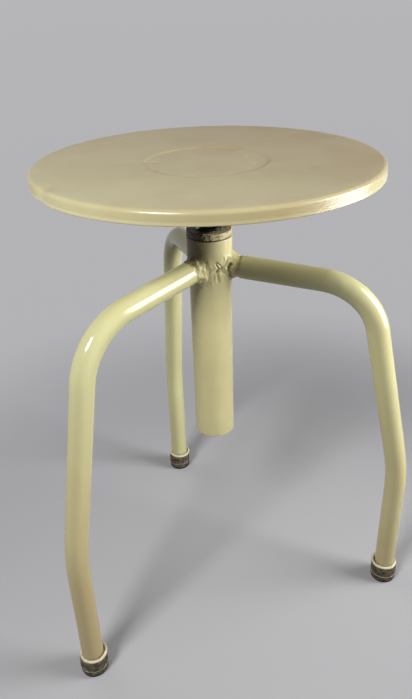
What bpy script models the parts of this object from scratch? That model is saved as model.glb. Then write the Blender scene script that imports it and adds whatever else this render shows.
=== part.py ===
"""Medical stool: round pressed seat on a threaded spindle, column tube and three bent tube legs."""
from math import atan2, ceil, cos, pi, radians, sin, sqrt, tan

import bmesh
import bpy
from mathutils import Matrix, Quaternion, Vector

# Seat
seat_diameter = 0.350
rim_height = 0.0125
rim_corner_radius = 0.004
sheet_thickness = 0.0015
dish_depth = 0.002
recess_diameter = 0.127
recess_depth = 0.001
flange_thickness = 0.004
hub_diameter = 0.040
hub_height = 0.020
hub_clearance = 0.0424
hub_pin_diameter = 0.006

# Screw lift
spindle_diameter = 0.028
thread_pitch = 0.008
thread_depth = 0.0035
thread_flank_angle = 15
turns_up = 14
nut_length = 0.034
collar_height = 0.007
collar_overhang = 0.0007
guide_thickness = 0.010
journal_share = 0.8
stop_bolt_diameter = 0.008
stop_bolt_grip = 0.018
bolt_head_height_share = 0.7
bolt_head_radius_share = 0.9
stop_washer_thickness = 0.002
nut_screw_diameter = 0.006

# Column
column_diameter = 0.0463
column_wall = 0.003
column_length = 0.2476
column_rise = 0.0333

# Legs
first_leg_angle = 226.3
leg_diameter = 0.025
leg_wall = 0.002
arm_height = 0.4395
arm_drop = 0.0159
shoulder_reach = 0.1717
foot_reach = 0.2205
knee_height = 0.1796
shoulder_bend_radius = 0.071
knee_bend_radius = 0.280
weld_bead_radius = 0.0055

# How far each foot stands out of true: outwards, and sideways from the plane of its arm
foot_shifts = {"front_left": (0.0027, 0.0048), "front_right": (0.0023, 0.0144), "rear": (-0.0043, 0.0)}

# Feet
foot_height = 0.028
foot_base_thickness = 0.006
foot_lip_wall = 0.003
foot_flare = 0.0002
foot_edge_radius = 0.003
foot_groove_depth = 0.0007
foot_groove_height = 0.0085
foot_washer_thickness = 0.0016

# Fits
fit_gap = 0.0003
guide_gap = 0.0005
thread_gap = 0.0004
stop_gap = 0.001

# Facets
seat_steps = 72
column_steps = 36
small_steps = 20
thread_steps = 16
tube_sides = 16
bead_sides = 8
bead_steps = 24
corner_steps = 3
dish_steps = 2
shoulder_bend_steps = 7
knee_bend_steps = 4
hexagon_sides = 6

# Sizes that follow from the ones above
seat_radius = seat_diameter / 2
recess_radius = recess_diameter / 2
hub_radius = hub_diameter / 2
column_radius = column_diameter / 2
bore_radius = column_radius - column_wall
leg_radius = leg_diameter / 2
crest_radius = spindle_diameter / 2
root_radius = crest_radius - thread_depth
shank_radius = root_radius - fit_gap
journal_radius = journal_share * root_radius
flank_run = thread_depth * tan(radians(thread_flank_angle))
crest_width = thread_pitch / 2 - flank_run
lift_up = turns_up * thread_pitch

column_top = arm_height + column_rise
column_bottom = column_top - column_length
collar_bottom = column_top + fit_gap
collar_top = collar_bottom + collar_height
nut_bottom = column_top - nut_length
hub_bottom = collar_top + hub_clearance
hub_top = hub_bottom + hub_height
flange_bottom = hub_top + fit_gap
flange_top = flange_bottom + flange_thickness
pan_underside = flange_top + fit_gap
recess_floor = pan_underside + sheet_thickness
seat_field = recess_floor + recess_depth
seat_top = seat_field + dish_depth
rim_bottom = seat_top - rim_height
guide_top = nut_bottom - lift_up - stop_gap
guide_bottom = guide_top - guide_thickness
journal_bottom = guide_bottom - fit_gap
stop_washer_top = journal_bottom - fit_gap
stop_washer_bottom = stop_washer_top - stop_washer_thickness
foot_bore = leg_radius + fit_gap
foot_top_radius = foot_bore + foot_lip_wall
foot_radius = foot_top_radius + foot_flare
foot_washer_bottom = foot_base_thickness + fit_gap
leg_bottom = foot_washer_bottom + foot_washer_thickness + fit_gap
arm_slope = atan2(arm_drop, shoulder_reach - column_radius)
leg_names = list(foot_shifts)
leg_spacing = 360 / len(leg_names)
leg_angles = [first_leg_angle + leg_spacing * index for index in range(len(leg_names))]

for old in list(bpy.data.objects):
    bpy.data.objects.remove(old, do_unlink=True)

parts = bpy.data.collections.new("medical_stool")
cutters = bpy.data.collections.new("cutters")
bpy.context.scene.collection.children.link(parts)
bpy.context.scene.collection.children.link(cutters)


def paint(name, colour, roughness, metallic):
    material = bpy.data.materials.new(name)
    material.use_nodes = True
    shader = material.node_tree.nodes["Principled BSDF"]
    shader.inputs["Base Color"].default_value = (*colour, 1.0)
    shader.inputs["Roughness"].default_value = roughness
    shader.inputs["Metallic"].default_value = metallic
    return material


cream = (0.56, 0.48, 0.31)
black = (0.012, 0.012, 0.012)
steel = (0.42, 0.41, 0.40)
rubber = (0.19, 0.17, 0.12)


def place(obj, colour, roughness, metallic):
    """Put a finished piece in the stool's collection with a paint of its own."""
    for home in list(obj.users_collection):
        home.objects.unlink(obj)
    parts.objects.link(obj)
    obj.data.materials.clear()
    obj.data.materials.append(paint(obj.name, colour, roughness, metallic))
    return obj


def stow(obj):
    """Keep a cutter out of the picture."""
    for home in list(obj.users_collection):
        home.objects.unlink(obj)
    cutters.objects.link(obj)
    obj.hide_render = True
    obj.display_type = "WIRE"
    return obj


def boolean(obj, other, operation):
    modifier = obj.modifiers.new(other.name, "BOOLEAN")
    modifier.operation = operation
    modifier.solver = "EXACT"
    modifier.object = other
    return obj


def turned(name, profile, steps):
    """Turn a profile about Z: an open chain starts and ends on the axis, any other is closed."""
    mesh = bpy.data.meshes.new(name)
    count = len(profile)
    edges = [(index, index + 1) for index in range(count - 1)]
    if profile[0][0] > 0:
        edges.append((count - 1, 0))
    mesh.from_pydata([(radius, 0, height) for radius, height in profile], edges, [])
    obj = bpy.data.objects.new(name, mesh)
    bpy.context.scene.collection.objects.link(obj)
    screw = obj.modifiers.new("turn", "SCREW")
    screw.axis = "Z"
    screw.angle = 2 * pi
    screw.steps = steps
    screw.render_steps = steps
    screw.use_merge_vertices = True
    screw.merge_threshold = 0.00001
    screw.use_smooth_shade = True
    return obj


def tube(name, points, radius, sides, ring=False):
    """Sweep a round section along a chain of points and turn the result into a mesh."""
    curve = bpy.data.curves.new(name, "CURVE")
    curve.dimensions = "3D"
    curve.bevel_depth = radius
    curve.bevel_resolution = sides // 2 - 2
    curve.use_fill_caps = not ring
    spline = curve.splines.new("POLY")
    spline.points.add(len(points) - 1)
    for knot, point in zip(spline.points, points):
        knot.co = (*point, 1.0)
    spline.use_cyclic_u = ring
    drawn = bpy.data.objects.new(name, curve)
    bpy.context.scene.collection.objects.link(drawn)
    graph = bpy.context.evaluated_depsgraph_get()
    mesh = bpy.data.meshes.new_from_object(drawn.evaluated_get(graph))
    bpy.data.objects.remove(drawn, do_unlink=True)
    shape = bmesh.new()
    shape.from_mesh(mesh)
    bmesh.ops.remove_doubles(shape, verts=shape.verts, dist=0.000001)
    bmesh.ops.recalc_face_normals(shape, faces=shape.faces)
    for face in shape.faces:
        face.smooth = True
    shape.to_mesh(mesh)
    shape.free()
    obj = bpy.data.objects.new(name, mesh)
    bpy.context.scene.collection.objects.link(obj)
    return obj


def rod(name, start, end, radius, steps):
    """A straight round bar between two points."""
    bar = tube(name, [start, end], radius, steps)
    for polygon in bar.data.polygons:
        polygon.use_smooth = len(polygon.vertices) == 4
    return bar


def threaded_rod(name, root, crest, width, low, high):
    """A right-hand threaded bar whose ends lie beyond the two heights."""
    run = (thread_pitch - width) / 2 - flank_run
    chain = [(root, run), (crest, run + flank_run), (crest, run + flank_run + width)]
    chain.append((root, thread_pitch - run))
    chain.append((root, thread_pitch + run))
    before = ceil((nut_bottom - low) / thread_pitch) + 2
    turns = before + ceil((high - nut_bottom) / thread_pitch) + 1
    first = nut_bottom - before * thread_pitch
    shape = bmesh.new()
    knots = [shape.verts.new((radius, 0, first + height)) for radius, height in chain]
    links = [shape.edges.new(pair) for pair in zip(knots, knots[1:])]
    step_rise = Vector((0, 0, thread_pitch / thread_steps))
    bmesh.ops.spin(shape, geom=knots + links, axis=(0, 0, 1), dvec=step_rise, angle=2 * pi * turns,
                   steps=thread_steps * turns)
    bmesh.ops.remove_doubles(shape, verts=shape.verts, dist=0.000001)
    middle = first + thread_pitch * (turns + 1) / 2 + run
    rims = [edge for edge in shape.edges if edge.is_boundary]
    lower = [edge for edge in rims if edge.verts[0].co.z < middle]
    upper = [edge for edge in rims if edge.verts[0].co.z > middle]
    for loop, height in ((lower, first), (upper, first + thread_pitch * turns)):
        grown = bmesh.ops.extrude_edge_only(shape, edges=loop)["geom"]
        fresh = [item for item in grown if isinstance(item, bmesh.types.BMVert)]
        bmesh.ops.pointmerge(shape, verts=fresh, merge_co=(0, 0, height + thread_pitch / 2 + run))
    bmesh.ops.recalc_face_normals(shape, faces=shape.faces)
    mesh = bpy.data.meshes.new(name)
    shape.to_mesh(mesh)
    shape.free()
    obj = bpy.data.objects.new(name, mesh)
    bpy.context.scene.collection.objects.link(obj)
    return obj


def arc(centre_r, centre_z, radius, start, end, steps):
    """Points of an arc in the profile plane, angles in degrees."""
    angles = [radians(start + (end - start) * index / steps) for index in range(steps + 1)]
    return [(centre_r + radius * cos(angle), centre_z + radius * sin(angle)) for angle in angles]


def rounded(chain, radii, steps):
    """Round the inner corners of a chain of points."""
    path = [chain[0]]
    for index in range(1, len(chain) - 1):
        corner = chain[index]
        to_last = (chain[index - 1] - corner).normalized()
        to_next = (chain[index + 1] - corner).normalized()
        half = to_last.angle(to_next) / 2
        bisector = (to_last + to_next).normalized()
        centre = corner + bisector * radii[index - 1] / sin(half)
        start = corner + to_last * radii[index - 1] / tan(half) - centre
        end = corner + to_next * radii[index - 1] / tan(half) - centre
        axis = start.cross(end).normalized()
        sweep = start.angle(end)
        for step in range(steps[index - 1] + 1):
            path.append(centre + Quaternion(axis, sweep * step / steps[index - 1]) @ start)
    path.append(chain[-1])
    return path


# Seat pan
field_edge = seat_radius - 2 * rim_corner_radius
recess_ramp = 2 * recess_depth
upper_skin = [(0, recess_floor), (recess_radius - recess_ramp, recess_floor)]
for index in range(dish_steps + 1):
    share = index / dish_steps
    reach = recess_radius + (field_edge - recess_radius) * share
    upper_skin.append((reach, seat_field + dish_depth * share ** 2))
outer_corner = arc(seat_radius - rim_corner_radius, seat_top - rim_corner_radius, rim_corner_radius,
                   90, 0, corner_steps)
inner_corner = arc(seat_radius - rim_corner_radius, seat_top - rim_corner_radius,
                   rim_corner_radius - sheet_thickness, 0, 90, corner_steps)
lower_skin = [(reach, height - sheet_thickness) for reach, height in reversed(upper_skin)]
skirt = [(seat_radius, rim_bottom), (seat_radius - sheet_thickness, rim_bottom)]
pan = turned("seat_pan", upper_skin + outer_corner + skirt + inner_corner + lower_skin, seat_steps)
place(pan, cream, 0.35, 0.0)

# Flange plate and hub under the seat
flange_radius = recess_radius - recess_ramp - 2 * fit_gap
flange_edge = flange_thickness / 4
flange = turned("seat_flange", [
    (0, flange_top), (flange_radius - flange_edge, flange_top), (flange_radius, flange_top - flange_edge),
    (flange_radius, flange_bottom + flange_edge), (flange_radius - flange_edge, flange_bottom),
    (0, flange_bottom)], column_steps)
place(flange, cream, 0.4, 0.0)

hub_edge = hub_height / 8
hub = turned("spindle_hub", [
    (hub_radius, hub_top), (hub_radius, hub_bottom + hub_edge), (hub_radius - hub_edge, hub_bottom),
    (shank_radius + fit_gap, hub_bottom), (shank_radius + fit_gap, hub_top)], column_steps)
hub_middle = (hub_bottom + hub_top) / 2
pin_reach = hub_radius * cos(pi / column_steps) - fit_gap
pin_radius = hub_pin_diameter / 2
pin_hole = stow(rod("hub_pin_hole", (-seat_radius / 2, 0, hub_middle), (seat_radius / 2, 0, hub_middle),
                    pin_radius + fit_gap, small_steps))
boolean(hub, pin_hole, "DIFFERENCE")
place(hub, cream, 0.4, 0.0)
place(rod("hub_pin", (-pin_reach, 0, hub_middle), (pin_reach, 0, hub_middle), pin_radius, small_steps),
      steel, 0.35, 1.0)

# Spindle: a threaded bar turned down at both ends
thread_top = hub_bottom - fit_gap
shoulder = guide_top + fit_gap
spindle_top = hub_top - fit_gap
spindle = threaded_rod("spindle", root_radius, crest_radius, crest_width, journal_bottom, spindle_top)
envelope_radius = crest_radius + thread_depth
runout = envelope_radius - shank_radius
envelope = stow(turned("spindle_envelope", [
    (0, spindle_top), (shank_radius, spindle_top), (shank_radius, thread_top),
    (envelope_radius, thread_top - runout), (envelope_radius, shoulder + runout), (shank_radius, shoulder),
    (journal_radius, shoulder), (journal_radius, journal_bottom), (0, journal_bottom)], small_steps))
bolt_radius = stop_bolt_diameter / 2
bolt_top = journal_bottom + stop_bolt_grip
bolt_hole = stow(rod("stop_bolt_hole", (0, 0, journal_bottom - stop_bolt_grip), (0, 0, bolt_top + fit_gap),
                     bolt_radius + fit_gap, small_steps))
boolean(spindle, envelope, "INTERSECT")
boolean(spindle, bolt_hole, "DIFFERENCE")
boolean(spindle, pin_hole, "DIFFERENCE")
place(spindle, black, 0.25, 0.6)

# Guide ring, washer and bolt at the foot of the spindle
guide_radius = bore_radius - guide_gap
guide_edge = guide_thickness / 10
guide = turned("guide_ring", [
    (guide_radius - guide_edge, guide_top), (guide_radius, guide_top - guide_edge),
    (guide_radius, guide_bottom + guide_edge), (guide_radius - guide_edge, guide_bottom),
    (journal_radius + fit_gap, guide_bottom), (journal_radius + fit_gap, guide_top)], column_steps)
place(guide, steel, 0.45, 1.0)

stop_washer_radius = (journal_radius + guide_radius) / 2
washer_hole = bolt_radius + fit_gap
stop_washer = turned("stop_washer", [
    (stop_washer_radius, stop_washer_top), (stop_washer_radius, stop_washer_bottom),
    (washer_hole, stop_washer_bottom), (washer_hole, stop_washer_top)], small_steps)
place(stop_washer, steel, 0.4, 1.0)

head_top = stop_washer_bottom - fit_gap
head_height = bolt_head_height_share * stop_bolt_diameter
head_radius = bolt_head_radius_share * stop_bolt_diameter
stop_bolt = turned("stop_bolt", [
    (0, bolt_top), (bolt_radius, bolt_top), (bolt_radius, head_top), (head_radius, head_top),
    (head_radius, head_top - head_height), (0, head_top - head_height)], small_steps)
head_flats = stow(rod("stop_bolt_flats", (0, 0, head_top - 2 * head_height), (0, 0, bolt_top + head_height),
                      head_radius - fit_gap, hexagon_sides))
boolean(stop_bolt, head_flats, "INTERSECT")
place(stop_bolt, steel, 0.35, 1.0)

# Column tube
column_edge = column_wall / 4
column = turned("column_tube", [
    (column_radius - column_edge, column_top), (column_radius, column_top - column_edge),
    (column_radius, column_bottom + column_edge), (column_radius - column_edge, column_bottom),
    (bore_radius, column_bottom), (bore_radius, column_top)], column_steps)

# Nut with its collar, and the screw that keeps it from turning in the column
bush_radius = bore_radius - fit_gap
collar_radius = column_radius + collar_overhang
collar_edge = collar_height / 7
nut = turned("spindle_nut", [
    (0, collar_top), (collar_radius - collar_edge, collar_top), (collar_radius, collar_top - collar_edge),
    (collar_radius, collar_bottom), (bush_radius, collar_bottom), (bush_radius, nut_bottom),
    (0, nut_bottom)], column_steps)
thread_void = stow(threaded_rod("nut_thread", root_radius + thread_gap, crest_radius + thread_gap,
                                crest_width + 2 * thread_gap, nut_bottom, collar_top))
boolean(nut, thread_void, "DIFFERENCE")

screw_angle = radians(leg_angles[1] + leg_spacing / 2)
screw_height = column_top - nut_length / 3
screw_radius = nut_screw_diameter / 2
screw_inner = (bush_radius + crest_radius) / 2
screw_outer = column_radius * cos(pi / column_steps) - fit_gap


def on_screw_axis(reach):
    return (reach * cos(screw_angle), reach * sin(screw_angle), screw_height)


screw_hole = stow(rod("nut_screw_hole", on_screw_axis(screw_inner - fit_gap), on_screw_axis(seat_radius),
                      screw_radius + fit_gap, small_steps))
boolean(nut, screw_hole, "DIFFERENCE")
boolean(column, screw_hole, "DIFFERENCE")
place(column, cream, 0.35, 0.0)
place(nut, (0.40, 0.33, 0.20), 0.5, 0.2)
place(rod("nut_screw", on_screw_axis(screw_inner), on_screw_axis(screw_outer), screw_radius, small_steps),
      steel, 0.4, 1.0)

# Arms along +X, shared by the legs that stand around the column
arm_direction = Vector((cos(arm_slope), 0, -sin(arm_slope)))
arm_root = Vector((column_radius, 0, arm_height))
inside = arm_root - arm_direction * column_radius / 2
leg_shoulder = Vector((shoulder_reach, 0, arm_height - arm_drop))
bend_radii = [shoulder_bend_radius, knee_bend_radius]
bend_steps = [shoulder_bend_steps, knee_bend_steps]
column_room = stow(turned("column_room", [
    (0, column_top), (column_radius + fit_gap, column_top), (column_radius + fit_gap, column_bottom),
    (0, column_bottom)], column_steps))
arm_start = Vector((0, 0, arm_height + column_radius * tan(arm_slope)))
arm_end = arm_root + arm_direction * shoulder_reach / 2

# The weld bead follows the saddle where arm and column meet
bead_offset = weld_bead_radius / 3
bead_reach = leg_radius + bead_offset
bead_path = []
for index in range(bead_steps):
    turn = 2 * pi * index / bead_steps
    side = bead_reach * cos(turn)
    across = sqrt((column_radius + bead_offset) ** 2 - side ** 2)
    along = (across - column_radius - bead_reach * sin(turn) * sin(arm_slope)) / cos(arm_slope)
    bead_path.append((across, side, arm_height - along * sin(arm_slope)
                      + bead_reach * sin(turn) * cos(arm_slope)))

# Foot profile: cup for the tube, outer wall with a groove, rounded ground edge
groove_half = foot_groove_depth
ground_edge = arc(foot_radius - foot_edge_radius, foot_edge_radius, foot_edge_radius, 0, -90, corner_steps)
foot_profile = [
    (0, foot_base_thickness), (foot_bore, foot_base_thickness), (foot_bore, foot_height),
    (foot_top_radius - foot_lip_wall / 3, foot_height), (foot_top_radius, foot_height - foot_lip_wall / 3),
    (foot_radius, foot_groove_height + 2 * groove_half),
    (foot_radius - foot_groove_depth, foot_groove_height + groove_half),
    (foot_radius - foot_groove_depth, foot_groove_height), (foot_radius, foot_groove_height - groove_half)]
foot_profile += ground_edge
foot_profile.append((0, 0))
foot_washer_radius = foot_bore - fit_gap
foot_washer_hole = foot_washer_radius / 3

for name, angle in zip(leg_names, leg_angles):
    heading = radians(angle)
    outwards, sideways = foot_shifts[name]
    foot_place = Vector((foot_reach + outwards, sideways, 0))
    standing = Matrix.Rotation(heading, 3, "Z") @ foot_place

    knee = foot_place + Vector((0, 0, knee_height))
    tube_end = foot_place + Vector((0, 0, leg_bottom))
    below_foot = foot_place - Vector((0, 0, foot_height))
    leg_path = rounded([inside, leg_shoulder, knee, tube_end], bend_radii, bend_steps)
    hollow_path = rounded([arm_start, leg_shoulder, knee, below_foot], bend_radii, bend_steps)
    leg = tube("leg_" + name, leg_path, leg_radius, tube_sides)
    hollow = stow(tube("hollow_" + name, hollow_path, leg_radius - leg_wall, tube_sides))
    boolean(leg, hollow, "DIFFERENCE")
    boolean(leg, column_room, "DIFFERENCE")
    place(leg, cream, 0.3, 0.0)

    bead = tube("weld_" + name, bead_path, weld_bead_radius, bead_sides, ring=True)
    arm_room = stow(rod("arm_room_" + name, arm_start, arm_end, leg_radius + fit_gap, tube_sides))
    boolean(bead, column_room, "DIFFERENCE")
    boolean(bead, arm_room, "DIFFERENCE")
    place(bead, cream, 0.45, 0.0)
    for piece in (leg, hollow, bead, arm_room):
        piece.rotation_euler.z = heading

    foot = turned("foot_" + name, foot_profile, small_steps)
    foot.location = standing
    place(foot, rubber, 0.75, 0.0)

    washer = turned("foot_washer_" + name, [
        (foot_washer_radius, foot_washer_bottom + foot_washer_thickness),
        (foot_washer_radius, foot_washer_bottom), (foot_washer_hole, foot_washer_bottom),
        (foot_washer_hole, foot_washer_bottom + foot_washer_thickness)], small_steps)
    washer.location = standing
    place(washer, steel, 0.45, 1.0)
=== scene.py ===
"""Looks of the medical stool: enamelled seat and tube frame, greased spindle, worn collar, rubber feet."""
from math import atan2, ceil, cos, exp, hypot, pi, radians, sin, sqrt, tan

import bmesh
import bpy
from mathutils import Matrix, Vector, noise
from mathutils.geometry import intersect_point_line


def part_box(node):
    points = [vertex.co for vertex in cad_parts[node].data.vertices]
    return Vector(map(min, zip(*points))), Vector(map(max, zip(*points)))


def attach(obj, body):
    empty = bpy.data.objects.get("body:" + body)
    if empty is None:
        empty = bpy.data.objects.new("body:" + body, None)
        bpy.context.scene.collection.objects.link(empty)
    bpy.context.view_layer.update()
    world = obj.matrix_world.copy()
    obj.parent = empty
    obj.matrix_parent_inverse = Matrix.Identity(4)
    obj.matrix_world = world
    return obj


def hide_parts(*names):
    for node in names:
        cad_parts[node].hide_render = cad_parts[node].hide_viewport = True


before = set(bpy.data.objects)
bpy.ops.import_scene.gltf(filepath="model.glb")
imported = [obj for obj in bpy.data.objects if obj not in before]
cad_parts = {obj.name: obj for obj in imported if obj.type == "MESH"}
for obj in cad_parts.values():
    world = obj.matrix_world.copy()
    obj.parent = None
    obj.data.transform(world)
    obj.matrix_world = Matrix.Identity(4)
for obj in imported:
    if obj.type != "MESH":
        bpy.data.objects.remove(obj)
scene = bpy.context.scene
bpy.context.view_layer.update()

# Sizes read from the frame
pan_low, pan_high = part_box("seat_pan")
flange_low, flange_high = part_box("seat_flange")
hub_low, hub_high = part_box("spindle_hub")
pin_low, pin_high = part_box("hub_pin")
pin_radius = (pin_high.z - pin_low.z) / 2
pin_height = (pin_low.z + pin_high.z) / 2
spindle_low, spindle_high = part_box("spindle")
nut_low, nut_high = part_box("spindle_nut")
column_low, column_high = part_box("column_tube")
seat_radius = pan_high.x
seat_top = pan_high.z
rim_bottom = pan_low.z
column_radius = column_high.x
collar_radius = nut_high.x
collar_top = nut_high.z
foot_low, foot_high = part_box("foot_rear")
foot_height = foot_high.z
foot_radius = (foot_high.x - foot_low.x) / 2
leg_names = ["front_left", "front_right", "rear"]

# Seat, with its flange and hub
sheet_thickness = 0.0015
rim_corner_radius = 0.004
hem_bulge = 0.0006
hem_height = 0.0032
dish_depth = 0.002
recess_radius = 0.0635
recess_depth = 0.001
recess_ramp = 0.0030
# Painted shade along the recess's near edge
recess_edge_shade_width = 0.0022
recess_edge_shade_share = 0.55
recess_edge_shade_fade = (-0.2, 0.6)
spot_weld_depth = 0.0012
spot_weld_width = 0.0043
spot_welds = [(0.0616, 131.5), (0.0534, 174.5), (0.0605, -151.6), (0.0634, -103.1), (0.0552, -63.1),
              (0.0510, -16.3), (0.0457, 22.2), (0.0642, 95.2), (0.0564, 63.1)]
knock_place = (0.094, -0.046)
knock_depth = 0.0011
knock_width = 0.006
sheet_wave_depth = 0.0004
sheet_wave_length = 0.07
bash_heading = radians(-148)
bash_depth = 0.0034
bash_width = 0.012
bash_at_bottom = 0.45
bash_sag = 0.7
run_heading = radians(-57)
run_spread = 0.16
run_depth = 0.0009
run_size = 0.0024
chip_heading = radians(-58)
chip_spread = 0.28
chip_band = (0.003, 0.0004)
chip_least = 0.14
chip_more = 0.20
pit_heading = radians(-50)
pit_spread = 0.30
undented_edge = 0.02
# Yellowing of the skirt's front right and of the top, which also paints shade: the top mostly darker than
# the skirt, and darker towards its right and far side
yellow_and_shade_heading = radians(-70)
yellow_and_shade_spread = 0.50
skirt_yellow_and_shade = 0.60
top_yellow_and_shade = 0.57
top_yellow_and_shade_slope = 1.5
top_yellow_and_shade_least = 0.18
top_yellow_and_shade_most = 0.85
flange_edge_radius = 0.0012
hub_edge_radius = 0.0025
bore_grease_reach = 0.005
bore_grease_share = 0.75

# Screw lift
spindle_radius = 0.014
thread_pitch = 0.008
thread_depth = 0.0035
thread_flank_angle = radians(15)
thread_gap = 0.0004
shank_gap = 0.0003
journal_radius = 0.0084
journal_length = 0.0106
bolt_hole_radius = 0.0043
bolt_hole_depth = 0.0183
collar_height = 0.007
collar_flare = 0.0005
collar_edge_radius = 0.0009
collar_roughness = 0.0004
collar_lump_size = 0.0024
collar_grit_size = 0.001
collar_mouth = 0.002
collar_inner_ring = 0.004
collar_wear = 0.6
collar_wear_upward = 0.01
collar_paint_heading = radians(-100)
collar_paint_spread = 0.80
collar_paint_least = 0.17
collar_paint_more = 0.67
collar_inner_paint = 0.55
collar_joint_line = 0.0005
screw_slot_turn = 0.6
screw_face_sink = 0.0002

# Column, legs and welds
column_wall = 0.003
column_edge_radius = 0.0014
column_top_edge = 0.0007
column_flare = 0.0012
column_flare_height = 0.045
splash_depth = 0.0018
splash_reach = 0.022
splash_drop = 0.033
splash_lump_size = 0.00975
crease_size = 0.0065
splash_grit_size = 0.002
splash_flatness = 1.5
# How much of the weld's splash is even, lumpy, creased and gritty
splash_shares = (0.25, 0.5, 0.5, 0.25)
crease_stretch = 0.6
crease_sharpness = 3.0
drip_depth = 0.0008
drip_width = 0.0030
drip_length = 0.030
drip_stretch = 0.15
seam_heading = radians(-83)
seam_nick_depth = 0.0016
seam_nick_width = 0.0012
seam_nick_height = 0.004
seam_grime_height = 0.006
# Grease down the column's left from the collar, darkened further as painted shade
grease_and_shade_heading = radians(-146)
grease_and_shade_spread = 0.75
# Depths below the column's top between which the grease with its painted shade and the edge's dirt grow
grease_and_shade_run = (0.042, 0.014)
top_dirt_band = (0.0012, 0.0003)
grease_and_shade_share = 1.1
top_dirt_share = 0.8
nick_dirt_share = 0.7
nick_dirt_width = 0.0018
fold_dirt_share = 0.3
first_leg_heading = radians(226.3)
leg_radius = 0.0125
leg_wall = 0.002
arm_height = 0.4395
arm_drop = 0.0159
arm_end_reach = 0.0345
shoulder_reach = 0.1717
knee_height = 0.1796
leg_bottom = 0.0082
shoulder_bend_radius = 0.071
knee_bend_radius = 0.280
scuff_place = (0.0778, -0.0270, 0.4427)
scuff_width = 0.005
ripple_place = (0.1341, -0.0434, 0.4304)
ripple_width = 0.006
ripple_depth = 0.0005
weld_grime_reach = 0.004
weld_grime_share = 0.35
weld_foot_share = 0.25
# How much of the column's grease, painted shade and grime the welds take on
weld_stain_and_shade_share = 0.8
foot_grime_band = (0.010, -0.002)
foot_grime_share = 0.5
# How yellow each leg is at its arm and at its foot, and the heights between which that changes
leg_yellowing = {"front_left": (0.0, 0.95, 0.05, 0.42), "front_right": (0.15, 0.60, 0.10, 0.42),
                 "rear": (0.0, 0.0, 0.05, 0.42)}
weld_throat = 0.0009
weld_spread = 0.01
weld_core_radius = 0.0095
weld_sink = 0.0005
weld_lump = 0.0017
weld_lump_size = 0.0062
weld_grit = 0.0005
weld_grit_size = 0.0021
weld_smooth_end = 0.25
weld_end_roughness = 0.30
weld_rows = 36
weld_back_rows = 12
# How far each weld spreads above and below its arm, and how lumpy and how gritty it is
weld_looks = {"front_left": (0.0085, 0.0125, 1.2, 1.0), "front_right": (0.0105, 0.0080, 0.45, 0.2),
              "rear": (0.008, 0.010, 0.8, 0.6)}
weld_gashes = [[(0.0066, -0.0230, 0.4481), (0.0102, -0.0208, 0.4423), (0.0072, -0.0227, 0.4387)],
               [(0.0213, -0.0182, 0.4452), (0.0182, -0.0198, 0.4425), (0.0200, -0.0198, 0.4408)],
               [(0.0186, -0.0200, 0.4398), (0.0221, -0.0149, 0.4282)]]
weld_gash_depth = 0.0028
weld_gash_width = 0.0013
weld_folds = [[(-0.0042, -0.0241, 0.4499), (-0.0007, -0.0244, 0.4515), (-0.0006, -0.0247, 0.4425),
               (-0.0005, -0.0249, 0.4369), (-0.0020, -0.0243, 0.4311), (-0.0065, -0.0227, 0.4230)],
              [(-0.0017, -0.0239, 0.4278), (-0.0045, -0.0229, 0.4223)],
              [(0.0070, -0.0228, 0.4367), (0.0084, -0.0216, 0.4271)]]
weld_fold_depth = 0.0008
weld_fold_width = 0.0011
gash_floor = 0.0019
gash_backing = 0.0003
weld_zone = (0.412, 0.466)

# Feet
foot_base_thickness = 0.006
foot_bore = 0.0128
foot_lip_width = 0.0034
foot_neck = 0.0005
foot_neck_depth = 0.00374
foot_groove_height = 0.0083
foot_groove_width = 0.0016
foot_ridge_width = 0.0012
foot_edge_radius = 0.003
foot_gap_shift = 0.0009
foot_wear = 0.00035
foot_wear_size = 0.0035
foot_wear_inward = 0.4
foot_grit_share = 0.4
foot_sole_height = 0.0012
foot_shift_start = 0.012
foot_lip_band = (0.0036, 0.0024)
# Dark band at the sole: soot and painted contact shadow
foot_soot_and_shade_band = (0.0056, 0.0026)
foot_bore_margin = 0.001
# Painted highlight along the ridge above the groove
ridge_highlight_share = 0.72
ridge_highlight_width = 0.00072
# Painted shade in the groove
groove_shade_share = 0.75
groove_shade_width = 0.00072

# How finely the pieces are turned and joined
seat_steps = 288
# Where each stretch of the seat's rings starts, how far they lie apart and how many there are
seat_rings = [(0.0, 0.003, 12), (0.036, 0.001, 45), (0.0808, 0.0032, 27)]
round_steps = 96
thread_steps = 48
tube_sides = 48
weld_steps = 216
smooth_angle = radians(38)
merge_distance = 0.000002
sliver_size = 0.0000005


def ramp(value, none, full):
    """Go smoothly from 0 at one value to 1 at another, which may be the lower one."""
    share = min(1.0, max(0.0, (value - none) / (full - none)))
    return share * share * (3 - 2 * share)


def lump(point, size, seed=0.0):
    """Smooth unevenness between -1 and 1 with a given grain size."""
    return noise.noise(Vector(point) / size + Vector((seed, 2.3 * seed, -1.7 * seed)))


def turn_from(heading, place):
    """Signed turn about the stool's axis from a heading to a place, at most half a turn."""
    turn = atan2(place.y, place.x) - heading
    return atan2(sin(turn), cos(turn))


def bell(away, width):
    """1 at no distance, with a soft fall to nearly 0 at twice the width."""
    return exp(-(away / width) ** 2)


# Shape helpers
def arc(centre_r, centre_z, radius, start, end, steps):
    """Points of an arc in the profile plane, angles in degrees."""
    angles = [radians(start + (end - start) * index / steps) for index in range(steps + 1)]
    return [(centre_r + radius * cos(angle), centre_z + radius * sin(angle)) for angle in angles]


def run(first, last, steps):
    """Evenly spaced points of a straight stretch, without its last point."""
    across = (last[0] - first[0]) / steps
    upward = (last[1] - first[1]) / steps
    return [(first[0] + across * index, first[1] + upward * index) for index in range(steps)]


def rounded(radius, low, high, edge, steps):
    """Profile of a solid round bar with rounded ends."""
    profile = [(0, high)] + arc(radius - edge, high - edge, edge, 90, 0, steps)
    return profile + arc(radius - edge, low + edge, edge, 0, -90, steps) + [(0, low)]


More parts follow.
